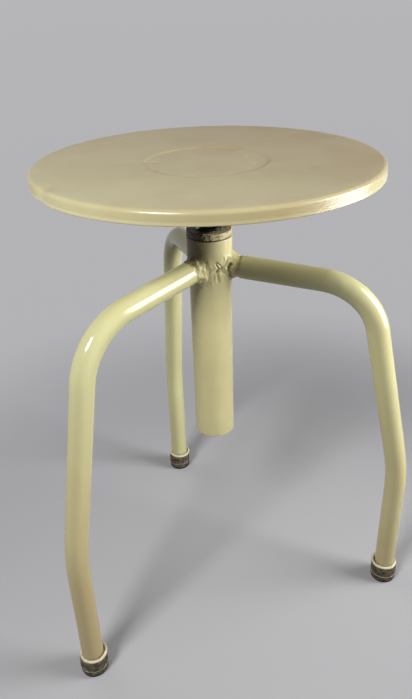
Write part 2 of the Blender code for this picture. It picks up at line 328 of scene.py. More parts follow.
def spun(profile, steps):
    """Turn a chain of (radius, height) points about the axis, closed unless its ends lie on the axis."""
    shape = bmesh.new()
    knots = [shape.verts.new((radius, 0, height)) for radius, height in profile]
    links = [shape.edges.new(pair) for pair in zip(knots, knots[1:])]
    if profile[0][0] > 0:
        links.append(shape.edges.new((knots[-1], knots[0])))
    bmesh.ops.spin(shape, geom=knots + links, cent=(0, 0, 0), axis=(0, 0, 1), dvec=(0, 0, 0), angle=2 * pi,
                   steps=steps, use_merge=True, use_duplicate=False)
    bmesh.ops.remove_doubles(shape, verts=shape.verts, dist=merge_distance)
    bmesh.ops.recalc_face_normals(shape, faces=shape.faces)
    return shape


def only(kind, items):
    """The items of one kind."""
    return [item for item in items if isinstance(item, kind)]


def pulled(shape, loop, path, rings):
    """Draw a loop of edges out along a path in even rings and return its last loop."""
    for _ in range(rings):
        grown = bmesh.ops.extrude_edge_only(shape, edges=loop)["geom"]
        fresh = only(bmesh.types.BMVert, grown)
        loop = [edge for edge in only(bmesh.types.BMEdge, grown) if set(edge.verts) <= set(fresh)]
        bmesh.ops.translate(shape, verts=fresh, vec=path / rings)
    return loop


def bent(shape, loop, start, before, after, radius, steps):
    """Sweep a loop of edges round a bend from one direction into another and return its last loop."""
    knots = list({knot for edge in loop for knot in edge.verts})
    inward = (after - before * before.dot(after)).normalized()
    swept = bmesh.ops.spin(shape, geom=knots + loop, cent=start + inward * radius, dvec=(0, 0, 0),
                           axis=before.cross(after).normalized(), angle=before.angle(after), steps=steps,
                           use_merge=False, use_duplicate=False)["geom_last"]
    return only(bmesh.types.BMEdge, swept)


def swing(shape, angle, axis):
    """Turn a shape about one of the axes through the origin."""
    bmesh.ops.rotate(shape, verts=shape.verts, cent=(0, 0, 0), matrix=Matrix.Rotation(angle, 3, axis))


def rod(start, end, radius, steps):
    """A straight round bar between two points, used to cut holes."""
    start = Vector(start)
    length = Vector(end) - start
    shape = bmesh.new()
    turn = length.to_track_quat("Z", "Y").to_matrix().to_4x4()
    bmesh.ops.create_cone(shape, cap_ends=True, segments=steps, radius1=radius, radius2=radius,
                          depth=length.length, matrix=Matrix.Translation(start + length / 2) @ turn)
    return shape


def threaded_rod(root, crest, width, low, high):
    """A right-hand threaded bar whose ends lie beyond the two heights, in step with the nut's lower face."""
    flank_run = thread_depth * tan(thread_flank_angle)
    run_out = (thread_pitch - width) / 2 - flank_run
    chain = [(root, run_out), (crest, run_out + flank_run), (crest, run_out + flank_run + width),
             (root, thread_pitch - run_out), (root, thread_pitch + run_out)]
    before = ceil((nut_low.z - low) / thread_pitch) + 2
    turns = before + ceil((high - nut_low.z) / thread_pitch) + 1
    first = nut_low.z - before * thread_pitch
    shape = bmesh.new()
    knots = [shape.verts.new((radius, 0, first + height)) for radius, height in chain]
    links = [shape.edges.new(pair) for pair in zip(knots, knots[1:])]
    bmesh.ops.spin(shape, geom=knots + links, cent=(0, 0, 0), axis=(0, 0, 1), angle=2 * pi * turns,
                   dvec=(0, 0, thread_pitch / thread_steps), steps=thread_steps * turns)
    bmesh.ops.remove_doubles(shape, verts=shape.verts, dist=merge_distance)
    middle = first + thread_pitch * (turns + 1) / 2 + run_out
    rims = [edge for edge in shape.edges if edge.is_boundary]
    lower = [edge for edge in rims if edge.verts[0].co.z < middle]
    upper = [edge for edge in rims if edge.verts[0].co.z > middle]
    for loop, height in ((lower, first), (upper, first + thread_pitch * turns)):
        grown = bmesh.ops.extrude_edge_only(shape, edges=loop)["geom"]
        fresh = only(bmesh.types.BMVert, grown)
        bmesh.ops.pointmerge(shape, verts=fresh, merge_co=(0, 0, height + thread_pitch / 2 + run_out))
    bmesh.ops.recalc_face_normals(shape, faces=shape.faces)
    return shape


def as_object(shape, name):
    """Hand a finished shape over to an object of its own."""
    mesh = bpy.data.meshes.new(name)
    shape.to_mesh(mesh)
    shape.free()
    piece = bpy.data.objects.new(name, mesh)
    scene.collection.objects.link(piece)
    return piece


def carved(shape, tool, operation="DIFFERENCE"):
    """Cut one closed shape with another and return what is left."""
    block = as_object(shape, "block")
    cutter = as_object(tool, "cutter")
    cut = block.modifiers.new("cut", "BOOLEAN")
    cut.operation = operation
    cut.solver = "EXACT"
    cut.object = cutter
    left = bmesh.new()
    left.from_object(block, bpy.context.evaluated_depsgraph_get())
    bmesh.ops.remove_doubles(left, verts=left.verts, dist=sliver_size)
    bmesh.ops.dissolve_degenerate(left, edges=left.edges, dist=sliver_size)
    bmesh.ops.triangulate(left, faces=[face for face in left.faces if len(face.verts) > 4])
    for used in (block, cutter):
        bpy.data.meshes.remove(used.data)
    return left


def settle(shape, name, body, nodes, finish, marks=None):
    """Put a shape in the scene for its frame nodes, with its finish and any painted marks."""
    piece = as_object(shape, name)
    piece.data.shade_smooth()
    piece.data.set_sharp_from_angle(angle=smooth_angle)
    piece.data.materials.append(finish)
    for label, rule in (marks or {}).items():
        layer = piece.data.attributes.new(label, "FLOAT", "POINT")
        layer.data.foreach_set("value", [rule(knot.co) for knot in piece.data.vertices])
    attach(piece, body)
    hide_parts(*nodes)


# Node helpers
def add(tree, kind, inputs=None, **options):
    """Add a shader node and fill its inputs with values or with other nodes' outputs."""
    made = tree.nodes.new("ShaderNode" + kind)
    for option, value in options.items():
        setattr(made, option, value)
    for place, value in (inputs or {}).items():
        if isinstance(value, bpy.types.NodeSocket):
            tree.links.new(value, made.inputs[place])
        else:
            made.inputs[place].default_value = value
    return made


def calculated(tree, operation, first, second):
    return add(tree, "Math", {0: first, 1: second}, operation=operation).outputs[0]


def scaled(tree, value, factor, offset):
    return add(tree, "Math", {0: value, 1: factor, 2: offset}, operation="MULTIPLY_ADD").outputs[0]


def mixed(tree, share, first, second):
    """Blend two colours by a share."""
    return add(tree, "Mix", {0: share, 6: first, 7: second}, data_type="RGBA").outputs[2]


def mask(tree, value, low, high):
    """Turn a value into a soft-edged mask between two levels."""
    return add(tree, "MapRange", {"Value": value, "From Min": low, "From Max": high},
               interpolation_type="SMOOTHSTEP").outputs[0]


def two_tone(tree, pattern, low, high, first, second):
    """Blend two colours between two levels of a pattern."""
    return mixed(tree, mask(tree, pattern, low, high), first, second)


def grain(tree, scale, detail, coarse=0.5, stretch=(1, 1, 1)):
    """Noise on the piece's own coordinates, in grains per metre."""
    place = add(tree, "TexCoord").outputs["Object"]
    if stretch != (1, 1, 1):
        place = add(tree, "Mapping", {"Vector": place, "Scale": stretch}).outputs[0]
    inputs = {"Vector": place, "Scale": scale, "Detail": detail, "Roughness": coarse}
    return add(tree, "TexNoise", inputs).outputs[0]


def painted(tree, label):
    """The marks painted on a piece under a name."""
    return add(tree, "Attribute", attribute_name=label).outputs["Fac"]


def broken_up(tree, amount, pattern, spread, low, high):
    """A mask whose edge is frayed by a noise pattern, and empty where nothing is painted."""
    frayed = scaled(tree, pattern, 2 * spread, 1 - spread)
    return mask(tree, calculated(tree, "MULTIPLY", amount, frayed), low, high)


def new_group(name, inputs, outputs):
    """Start a shader node group with named sockets."""
    tree = bpy.data.node_groups.new(name, "ShaderNodeTree")
    for way, sockets in (("INPUT", inputs), ("OUTPUT", outputs)):
        for label, kind in sockets.items():
            tree.interface.new_socket(name=label, in_out=way, socket_type="NodeSocket" + kind)
    given = tree.nodes.new("NodeGroupInput").outputs
    wanted = tree.nodes.new("NodeGroupOutput").inputs
    return tree, given, wanted


def new_material(name, values):
    """Start a material and set the shader's plain values."""
    material = bpy.data.materials.new(name)
    material.use_nodes = True
    shader = material.node_tree.nodes["Principled BSDF"]
    for label, value in values.items():
        shader.inputs[label].default_value = value
    return material, material.node_tree, shader


def connect(tree, shader, sources, bump_strength, bump_distance, height):
    """Feed a shader's varying inputs and its bump."""
    for label, source in sources.items():
        tree.links.new(source, shader.inputs[label])
    bump = add(tree, "Bump", {"Strength": bump_strength, "Distance": bump_distance, "Height": height})
    tree.links.new(bump.outputs[0], shader.inputs["Normal"])


# Finishes
stain_and_shade_brown = (0.085, 0.060, 0.028, 1)
rust_brown = (0.070, 0.040, 0.020, 1)
bare_steel = (0.150, 0.140, 0.125, 1)
muck_black = (0.010, 0.008, 0.005, 1)
muck_brown = (0.075, 0.046, 0.020, 1)
collar_cream = (0.62, 0.54, 0.32, 1)
collar_ochre = (0.40, 0.31, 0.15, 1)
grease_black = (0.004, 0.004, 0.003, 1)
grease_brown = (0.018, 0.013, 0.008, 1)
clean_steel = (0.36, 0.35, 0.33, 1)
dull_steel = (0.17, 0.13, 0.09, 1)
rubber_dark = (0.050, 0.040, 0.025, 1)
rubber_dusty = (0.165, 0.138, 0.088, 1)
# The lip's colours, also used for the painted highlight on the ridge
lip_pale = (0.66, 0.60, 0.45, 1)
lip_tan = (0.54, 0.47, 0.33, 1)
soot_and_shade_black = (0.014, 0.012, 0.010, 1)


def make_enamel_group():
    """Old sprayed enamel: uneven yellowing, orange peel, brown stains and chips down to the metal; the
    yellowing and the brown stains also carry painted shade where a piece's marks put it.
    """
    tree, given, wanted = new_group(
        "aged_and_shaded_enamel",
        {"Fresh": "Color", "Aged": "Color", "Dull": "Float", "Age": "Float", "Stain_and_shade": "Float",
         "Chip": "Float", "Pits": "Float"},
        {"Base Color": "Color", "Roughness": "Float", "Metallic": "Float", "Height": "Float"})
    blotches = mask(tree, grain(tree, 11, 3, 0.55), 0.36, 0.68)
    # The seat's yellowing and the column's and welds' staining also carry painted shade
    yellowed_and_shaded = scaled(tree, blotches, 0.22, given["Age"])
    paint = mixed(tree, yellowed_and_shaded, given["Fresh"], given["Aged"])
    stained_and_shaded = broken_up(tree, given["Stain_and_shade"], grain(tree, 170, 6, 0.68), 0.9, 0.18, 0.85)
    chipped = broken_up(tree, given["Chip"], grain(tree, 380, 4, 0.60), 1.6, 0.52, 0.60)
    bare = two_tone(tree, grain(tree, 500, 3), 0.42, 0.60, rust_brown, bare_steel)
    dirty_and_shaded = mixed(tree, calculated(tree, "MULTIPLY", stained_and_shaded, 0.88), paint, stain_and_shade_brown)
    tree.links.new(mixed(tree, chipped, dirty_and_shaded, bare), wanted["Base Color"])
    dull = scaled(tree, yellowed_and_shaded, 0.14, given["Dull"])
    dull = scaled(tree, stained_and_shaded, 0.30, dull)
    dull = scaled(tree, chipped, 0.18, dull)
    tree.links.new(dull, wanted["Roughness"])
    tree.links.new(calculated(tree, "MULTIPLY", chipped, 0.35), wanted["Metallic"])
    peel = scaled(tree, grain(tree, 1100, 2), 0.35, grain(tree, 330, 1))
    pits = calculated(tree, "MULTIPLY", mask(tree, grain(tree, 700, 2), 0.50, 0.72), given["Pits"])
    sunk = scaled(tree, pits, 3.0, chipped)
    tree.links.new(calculated(tree, "SUBTRACT", peel, sunk), wanted["Height"])
    return tree


enamel_group = make_enamel_group()


def enamel(name, fresh, aged_and_shaded, dull, peel):
    """Enamel with its own two tones and gloss, and the yellowing, stains, chips and pits painted on a piece,
    where yellowing and stains also carry painted shade.
    """
    material, tree, shader = new_material(name, {"Specular IOR Level": 0.5})
    coat = tree.nodes.new("ShaderNodeGroup")
    coat.node_tree = enamel_group
    for label, value in {"Fresh": fresh, "Aged": aged_and_shaded, "Dull": dull}.items():
        coat.inputs[label].default_value = value
    for label in ("Age", "Stain_and_shade", "Chip", "Pits"):
        tree.links.new(painted(tree, label.lower()), coat.inputs[label])
    sources = {label: coat.outputs[label] for label in ("Base Color", "Roughness", "Metallic")}
    connect(tree, shader, sources, peel, 0.0003, coat.outputs["Height"])
    return material


def make_worn_collar():
    """Paint flaking off the nut's collar over black and brown muck."""
    material, tree, shader = new_material("worn_collar", {"Specular IOR Level": 0.35})
    scratches = grain(tree, 560, 5, 0.64, (1, 1, 0.5))
    flakes = broken_up(tree, painted(tree, "paint_left"), scratches, 1.9, 0.46, 0.54)
    muck = two_tone(tree, grain(tree, 300, 4), 0.40, 0.62, muck_black, muck_brown)
    tone = two_tone(tree, grain(tree, 520, 3), 0.35, 0.70, collar_cream, collar_ochre)
    dull = scaled(tree, grain(tree, 240, 3), 0.35, 0.22)
    sources = {"Base Color": mixed(tree, flakes, muck, tone), "Roughness": dull}
    connect(tree, shader, sources, 0.7, 0.0006, flakes)
    return material


def make_grease():
    """Black grease over the steel of the spindle."""
    values = {"Specular IOR Level": 0.5, "Coat Weight": 0.4, "Coat Roughness": 0.05}
    material, tree, shader = new_material("greased_steel", values)
    film = grain(tree, 210, 4)
    colour = two_tone(tree, film, 0.45, 0.75, grease_black, grease_brown)
    dull = scaled(tree, film, 0.16, 0.05)
    connect(tree, shader, {"Base Color": colour, "Roughness": dull}, 0.2, 0.0003, film)
    return material


def make_turned_steel():
    """Plain turned steel with fine tool marks and a little tarnish."""
    material, tree, shader = new_material("turned_steel", {"Metallic": 0.9})
    marks = grain(tree, 90, 2, 0.5, (1, 1, 30))
    tarnish = mask(tree, grain(tree, 70, 5, 0.6), 0.45, 0.70)
    colour = mixed(tree, tarnish, clean_steel, dull_steel)
    dull = scaled(tree, tarnish, 0.25, 0.32)
    connect(tree, shader, {"Base Color": colour, "Roughness": dull}, 0.2, 0.0002, marks)
    return material


def make_foot_rubber():
    """Old ferrule rubber: dusty brown wall, pale worn lip, painted highlight on the ridge, painted shade in
    the groove, and a dark sole of soot and painted contact shadow.
    """
    material, tree, shader = new_material("foot_rubber", {"Specular IOR Level": 0.2})
    cloud = grain(tree, 190, 5, 0.62)
    wall = two_tone(tree, cloud, 0.38, 0.66, rubber_dark, rubber_dusty)
    rubbed_and_highlight = broken_up(tree, painted(tree, "rubbed_and_highlight"), grain(tree, 240, 4), 0.7, 0.40, 0.75)
    lip = two_tone(tree, grain(tree, 320, 3), 0.35, 0.7, lip_pale, lip_tan)
    paled_and_highlit = mixed(tree, rubbed_and_highlight, wall, lip)
    sooty_and_shaded = broken_up(tree, painted(tree, "soot_and_shade"), cloud, 0.5, 0.35, 0.75)
    dull = scaled(tree, cloud, 0.25, 0.48)
    sources = {"Base Color": mixed(tree, sooty_and_shaded, paled_and_highlit, soot_and_shade_black), "Roughness": dull}
    connect(tree, shader, sources, 0.5, 0.0004, grain(tree, 420, 4, 0.65))
    return material


seat_enamel = enamel("seat_enamel", (0.585, 0.543, 0.303, 1), (0.400, 0.305, 0.155, 1), 0.19, 0.07)
frame_enamel = enamel("frame_enamel", (0.585, 0.570, 0.297, 1), (0.490, 0.392, 0.197, 1), 0.11, 0.06)
# The column's enamel is lighter than the frame's, partly as painted light on the column's front
column_lit_enamel = enamel("column_lit_enamel", (0.655, 0.598, 0.310, 1), (0.420, 0.325, 0.165, 1), 0.19, 0.12)
weld_enamel = enamel("weld_enamel", (0.590, 0.535, 0.270, 1), (0.420, 0.325, 0.165, 1), 0.19, 0.15)
worn_collar = make_worn_collar()
grease = make_grease()
turned_steel = make_turned_steel()
foot_rubber = make_foot_rubber()


# Seat pan
field_edge = seat_radius - 2 * rim_corner_radius
corner_reach = seat_radius - rim_corner_radius
corner_height = seat_top - rim_corner_radius
dimple_places = [(reach * cos(radians(angle)), reach * sin(radians(angle))) for reach, angle in spot_welds]


def seat_height(reach):
    """Height of the seat's upper skin at a distance from the axis."""
    share = min(1.0, max(0.0, (reach - recess_radius) / (field_edge - recess_radius)))
    pressed = ramp(reach, recess_radius + recess_ramp / 4, recess_radius - recess_ramp)
    return seat_top - dish_depth * (1 - share ** 2) - recess_depth * pressed


def seat_sink(x, y):
    """How far the sheet sinks at a spot: dimples of the spot welds, one knock and the sheet's own waves."""
    sink = 0.0
    for across, along in dimple_places:
        sink += spot_weld_depth * bell(hypot(x - across, y - along), spot_weld_width)
    sink += knock_depth * bell(hypot(x - knock_place[0], y - knock_place[1]), knock_width)
    sink += sheet_wave_depth * lump((x, y, 0), sheet_wave_length, 3.1)
    return sink * ramp(hypot(x, y), field_edge, field_edge - undented_edge)


def bash_in(place):
    """Push the rim in where it was once knocked."""
    reach = place.xy.length
    if reach < field_edge:
        return
    distance = seat_radius * turn_from(bash_heading, place)
    push = bash_depth * bell(distance, bash_width) * ramp(reach, field_edge, corner_reach)
    high = ramp(place.z, rim_bottom, seat_top)
    place.xy *= 1 - push * (bash_at_bottom + (1 - bash_at_bottom) * high) / reach
    place.z -= bash_sag * push * high


def paint_runs(place):
    """Let paint gather in drops along the skirt's lower edge, right of the front."""
    reach = place.xy.length
    if reach < corner_reach or place.z > rim_bottom + hem_height:
        return
    drop = max(0.0, lump(place, run_size, 7.0)) * bell(turn_from(run_heading, place), run_spread)
    place.xy *= 1 + run_depth * drop / reach


def make_seat_pan():
    reaches = [start + spacing * ring for start, spacing, rings in seat_rings for ring in range(rings)]
    upper = [(reach, seat_height(reach)) for reach in reaches]
    skirt_middle = (seat_radius, (rim_bottom + corner_height) / 2)
    hem = sheet_thickness / 2
    outer = arc(corner_reach, corner_height, rim_corner_radius, 90, 0, 10)
    outer += run(skirt_middle, (seat_radius, rim_bottom + hem_height), 3)
    outer += run((seat_radius, rim_bottom + hem_height), (seat_radius + hem_bulge, rim_bottom + hem), 4)
    outer += arc(seat_radius + hem_bulge - hem, rim_bottom + hem, hem, 0, -180, 8)
    inner = arc(corner_reach, corner_height, rim_corner_radius - sheet_thickness, 0, 90, 8)
    lower = [(reach, height - sheet_thickness) for reach, height in reversed(upper)]
    shape = spun(upper + outer + inner + lower, seat_steps)
    for knot in shape.verts:
        knot.co.z -= seat_sink(knot.co.x, knot.co.y)
        bash_in(knot.co)
        paint_runs(knot.co)
    return shape


def rim_chips(place):
    """Chips along the skirt's lower edge, most of them on the right of the front."""
    if place.xy.length < corner_reach:
        return 0.0
    low = ramp(place.z - rim_bottom, *chip_band)
    return low * (chip_least + chip_more * bell(turn_from(chip_heading, place), chip_spread))


def rim_pits(place):
    """Coarse pitted paint on the skirt, right of the front."""
    if place.xy.length < corner_reach:
        return 0.0
    return bell(turn_from(pit_heading, place), pit_spread)


def recess_edge_shade(place):
    """Painted shade along the near edge of the recess."""
    near = ramp(-sin(atan2(place.y, place.x)), *recess_edge_shade_fade)
    away = place.xy.length - recess_radius + recess_ramp / 2
    return recess_edge_shade_share * near * bell(away, recess_edge_shade_width)


def seat_age_and_shade(place):
    """Yellowing with painted shade, most at the top's right and far side and right of the skirt's front, and
    painted shade along the recess.
    """
    skirt = ramp(place.z - corner_height, rim_corner_radius / 2, 0.0)
    if place.xy.length < corner_reach:
        skirt = 0.0
    top = top_yellow_and_shade + top_yellow_and_shade_slope * (place.x + place.y)
    top = min(top_yellow_and_shade_most, max(top_yellow_and_shade_least, top))
    front = skirt_yellow_and_shade * bell(turn_from(yellow_and_shade_heading, place), yellow_and_shade_spread)
    return top + (front - top) * skirt + recess_edge_shade(place)


settle(make_seat_pan(), "pressed_seat", "seat", ["seat_pan"], seat_enamel,
       {"chip": rim_chips, "pits": rim_pits, "age": seat_age_and_shade})


# Flange plate, hub and pin under the seat
def make_flange():
    return spun(rounded(flange_high.x, flange_low.z, flange_high.z, flange_edge_radius, 5), round_steps)


def pin_hole():
    """The cross pin's hole, through hub and spindle."""
    return rod((-seat_radius, 0, pin_height), (seat_radius, 0, pin_height), pin_radius + shank_gap,
               round_steps // 2)


def make_hub():
    edge = hub_edge_radius
    radius = hub_high.x
    bore = spindle_radius - thread_depth
    profile = arc(radius - edge / 3, hub_high.z - edge / 3, edge / 3, 90, 0, 3)
    profile += arc(radius - edge, hub_low.z + edge, edge, 0, -90, 6)
    profile += [(bore, hub_low.z), (bore, hub_high.z)]
    return carved(spun(profile, round_steps), pin_hole())


def make_hub_pin():
    """A pin with rounded ends, laid along X through the hub."""
    half = (pin_high.x - pin_low.x) / 2
    shape = spun(rounded(pin_radius, -half, half, pin_radius / 3, 4), round_steps // 2)
    swing(shape, pi / 2, "Y")
    bmesh.ops.translate(shape, verts=shape.verts, vec=(0, 0, pin_height))
    return shape


def greasy_bore(place):
    """Grease creeping out of the hub's bore."""
    away = place.xy.length - spindle_radius
    return bore_grease_share * ramp(away, bore_grease_reach, 0.0)


settle(make_flange(), "flange_plate", "seat", ["seat_flange"], frame_enamel)
settle(make_hub(), "hub", "seat", ["spindle_hub"], frame_enamel, {"stain_and_shade": greasy_bore})
settle(make_hub_pin(), "cross_pin", "seat", ["hub_pin"], turned_steel)


# Spindle and its nut
crest_width = thread_pitch / 2 - thread_depth * tan(thread_flank_angle)
root_radius = spindle_radius - thread_depth
shank_radius = root_radius - shank_gap
collar_joint = collar_top - collar_height


def make_spindle():
    thread_top = hub_low.z - shank_gap
    shoulder = spindle_low.z + journal_length
    outer = spindle_radius + thread_depth
    cone = outer - shank_radius
    top = spindle_high.z
    foot = spindle_low.z
    profile = [(0, top), (shank_radius, top), (shank_radius, thread_top), (outer, thread_top - cone)]
    profile += [(outer, shoulder + cone), (shank_radius, shoulder), (journal_radius, shoulder)]
    profile += [(journal_radius, foot), (0, foot)]
    bar = threaded_rod(root_radius, spindle_radius, crest_width, foot, top)
    turned = carved(bar, spun(profile, round_steps), "INTERSECT")
    bolt_hole = rod((0, 0, foot - bolt_hole_depth), (0, 0, foot + bolt_hole_depth), bolt_hole_radius,
                    round_steps // 2)
    return carved(carved(turned, bolt_hole), pin_hole())


def make_nut():
    bush_radius = column_radius - column_wall - shank_gap
    edge = collar_edge_radius
    rim = collar_radius + collar_flare
    profile = [(0, collar_top)] + run((collar_inner_ring, collar_top), (rim - edge, collar_top), 24)
    profile += arc(rim - edge, collar_top - edge, edge, 90, 0, 5)
    profile += run((rim, collar_top - 2 * edge), (rim, collar_joint + edge), 6)
    profile += arc(rim - edge, collar_joint + edge, edge, 0, -90, 5)
    profile += [(bush_radius, collar_joint), (bush_radius, nut_low.z), (0, nut_low.z)]
    shape = spun(profile, 2 * round_steps)
    for knot in shape.verts:
        if knot.co.z > collar_joint + edge and knot.co.xy.length > spindle_radius + collar_mouth:
            rough = lump(knot.co, collar_lump_size, 5.0) + lump(knot.co, collar_grit_size, 9.0) / 2
            out = Vector((knot.co.x, knot.co.y, collar_wear_upward)).normalized()
            knot.co += collar_roughness * (rough - collar_wear) * out
    void = threaded_rod(root_radius + thread_gap, spindle_radius + thread_gap, crest_width + 2 * thread_gap,
                        nut_low.z, collar_top)
    return carved(shape, void)


def paint_left(place):
    """Share of the collar's paint that is left: most on the right, least by the spindle."""
    aside = turn_from(collar_paint_heading, place)
    right = ramp(aside, -collar_paint_spread, collar_paint_spread)
    outward = ramp(place.xy.length, spindle_radius, collar_radius)
    above = ramp(place.z - collar_joint, 0.0, collar_joint_line)
    kept = collar_inner_paint + (1 - collar_inner_paint) * outward
    return (collar_paint_least + collar_paint_more * right * kept) * above


settle(make_spindle(), "screw_spindle", "seat", ["spindle"], grease)
settle(make_nut(), "worn_nut", "base", ["spindle_nut"], worn_collar,
       {"paint_left": paint_left})


# Where the legs run
arm_slope = atan2(arm_drop, shoulder_reach - column_radius)
arm_along = Vector((cos(arm_slope), 0, -sin(arm_slope)))
arm_upward = Vector((sin(arm_slope), 0, cos(arm_slope)))
arm_origin = Vector((0, 0, arm_height + column_radius * tan(arm_slope)))
arm_end = arm_end_reach / cos(arm_slope)
leg_headings = {name: first_leg_heading + 2 * pi * index / len(leg_names)
                for index, name in enumerate(leg_names)}
foot_centres = {}
for name in leg_names:
    low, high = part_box("foot_" + name)
    foot_centres[name] = Vector(((low.x + high.x) / 2, (low.y + high.y) / 2, 0))


# Column
screw_low, screw_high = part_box("nut_screw")
screw_place = (screw_low + screw_high) / 2
screw_heading = atan2(screw_place.y, screw_place.x)
screw_radius = (screw_high.z - screw_low.z) / 2


def nearness(place, lines, width):
    """1 on the lines that gashes or folds run along, falling off to 0 beside them."""
    if not weld_zone[0] < place.z < weld_zone[1]:
        return 0.0
    nearest = 1.0
    for line in lines:
        for first, last in zip(line, line[1:]):
            share = min(1.0, max(0.0, intersect_point_line(place, first, last)[1]))
            nearest = min(nearest, (place - Vector(first).lerp(Vector(last), share)).length)
    return bell(nearest, width)


def gash(place):
    return nearness(place, weld_gashes, weld_gash_width)


def fold(place):
    return nearness(place, weld_folds, weld_fold_width)


def weld_furrow(place):
    """How deep the weld's gashes and folds are at a place."""
    return weld_gash_depth * gash(place) + weld_fold_depth * fold(place)


def weld_splash(place):
    """How far weld metal stands on the column, run round the arms and dripped, less gashes and folds."""
    height = place.z - arm_height
    splash = 0.0
    for heading in leg_headings.values():
        across = column_radius * turn_from(heading, place)
        beyond = hypot(across, splash_flatness * height) - leg_radius
        splash = max(splash, ramp(beyond, splash_reach, 0.0))
    stretched = (place.x, place.y, crease_stretch * place.z)
    creases = 1 - crease_sharpness * abs(lump(stretched, crease_size, 6.0))
    plain, lumpy, creased, gritty = splash_shares
    lumps = plain + lumpy * lump(place, splash_lump_size, 2.0) + creased * creases
    lumps += gritty * lump(place, splash_grit_size, 4.0)
    fade = ramp(height, -drip_length, -drip_length / 3)
    fade *= ramp(height, drip_length / 3, 0.0)
    drip = max(0.0, lump((place.x, place.y, drip_stretch * place.z), drip_width, 8.0))
    raised = splash_depth * splash * lumps + drip_depth * fade * drip
    return max(raised - weld_furrow(place), -gash_floor - gash_backing)


def make_column():
    bore = column_radius - column_wall
    edge = column_edge_radius
    top = column_high.z
    splash_floor = arm_height - leg_radius - splash_drop
    profile = arc(column_radius - column_top_edge, top - column_top_edge, column_top_edge, 90, 0, 4)
    profile += run((column_radius, top - 2 * column_top_edge), (column_radius, splash_floor), 110)
    profile += run((column_radius, splash_floor), (column_radius, column_low.z + edge), 50)
    profile += arc(column_radius - edge, column_low.z + edge, edge, 0, -90, 6)
    profile += [(bore, column_low.z), (bore, top)]
    shape = spun(profile, 2 * round_steps)
    for knot in shape.verts:
        if knot.co.xy.length > bore + column_wall / 3:
            flare = column_flare * ramp(knot.co.z, top - column_flare_height, top)
            splash = weld_splash(knot.co) if knot.co.z > splash_floor else 0.0
            knot.co.xy *= 1 + (flare + splash) / column_radius
        across = column_radius * turn_from(seam_heading, knot.co)
        low = ramp(knot.co.z - column_low.z, seam_nick_height, 0.0)
        knot.co.z += seam_nick_depth * low * bell(across, seam_nick_width)
    out = Vector((cos(screw_heading), sin(screw_heading), 0))
    axis = Vector((0, 0, screw_place.z))
    hole = rod(axis + out * bore / 2, axis + out * column_radius * 2, screw_radius + shank_gap,
               round_steps // 2)
    return carved(shape, hole)


def column_stain_and_shade(place):
    """Grease run down from the collar on the left with painted shade over it, and grime in the seam nick and
    the weld's gashes.
    """
    left = bell(turn_from(grease_and_shade_heading, place), grease_and_shade_spread)
    run_down = ramp(column_high.z - place.z, *grease_and_shade_run)
    top_dirt = ramp(column_high.z - place.z, *top_dirt_band)
    across = column_radius * turn_from(seam_heading, place)
    low = ramp(place.z - column_low.z, seam_grime_height, 0.0)
    nick = low * bell(across, nick_dirt_width)
    dirt_and_shade = grease_and_shade_share * left * run_down + top_dirt_share * top_dirt + nick_dirt_share * nick
    return min(1.0, dirt_and_shade + gash(place) + fold_dirt_share * fold(place))


def make_nut_screw():
    """A slotted grub screw, its face just below the column's surface."""
    inner = hypot(screw_low.x, screw_low.y)
    outer = column_radius - screw_face_sink
    profile = rounded(screw_radius, inner, outer, screw_radius / 6, 4)
    slot = bmesh.new()
    size = Matrix.Diagonal((4 * screw_radius, screw_radius / 3, screw_radius, 1))
    bmesh.ops.create_cube(slot, size=1, matrix=Matrix.Translation((0, 0, outer)) @ size)
    shape = carved(spun(profile, round_steps // 2), slot)
    swing(shape, screw_slot_turn, "Z")
    swing(shape, pi / 2, "Y")
    swing(shape, screw_heading, "Z")
    bmesh.ops.translate(shape, verts=shape.verts, vec=(0, 0, screw_place.z))
    return shape


settle(make_column(), "column", "base", ["column_tube"], column_lit_enamel, {"stain_and_shade": column_stain_and_shade})
settle(make_nut_screw(), "grub_screw", "base", ["nut_screw"], turned_steel)


# Legs and welds
def make_leg(name):
    """A hollow tube drawn out along the arm, round the shoulder, down the splay, round the knee and down."""
    foot = Matrix.Rotation(-leg_headings[name], 3, "Z") @ foot_centres[name]
    shoulder = Vector((shoulder_reach, 0, arm_height - arm_drop))
    knee = foot + Vector((0, 0, knee_height))
    splay = (knee - shoulder).normalized()
    down = Vector((0, 0, -1))
    shoulder_cut = shoulder_bend_radius * tan(arm_along.angle(splay) / 2)
    knee_cut = knee_bend_radius * tan(splay.angle(down) / 2)
    start = arm_origin + arm_along * arm_end
    shoulder_start = shoulder - arm_along * shoulder_cut
    shoulder_end = shoulder + splay * shoulder_cut
    knee_start = knee - splay * knee_cut
    knee_end = knee + down * knee_cut
    shape = bmesh.new()
    turn = arm_along.to_track_quat("Z", "Y").to_matrix().to_4x4()
    bmesh.ops.create_circle(shape, cap_ends=False, radius=leg_radius, segments=tube_sides,
                            matrix=Matrix.Translation(start) @ turn)
    loop = pulled(shape, list(shape.edges), shoulder_start - start, 40)
    loop = bent(shape, loop, shoulder_start, arm_along, splay, shoulder_bend_radius, 30)
    loop = pulled(shape, loop, knee_start - shoulder_end, 40)
    loop = bent(shape, loop, knee_start, splay, down, knee_bend_radius, 16)
    pulled(shape, loop, foot + Vector((0, 0, leg_bottom)) - knee_end, 50)
    bmesh.ops.recalc_face_normals(shape, faces=shape.faces)
    bmesh.ops.solidify(shape, geom=list(shape.faces), thickness=leg_wall)
    swing(shape, leg_headings[name], "Z")
    shape.normal_update()
    for knot in shape.verts:
        away = (knot.co - Vector(ripple_place)).length
        ripple = bell(away, ripple_width) * sin(pi * away / ripple_width)
        knot.co += ripple_depth * ripple * knot.normal
    return shape


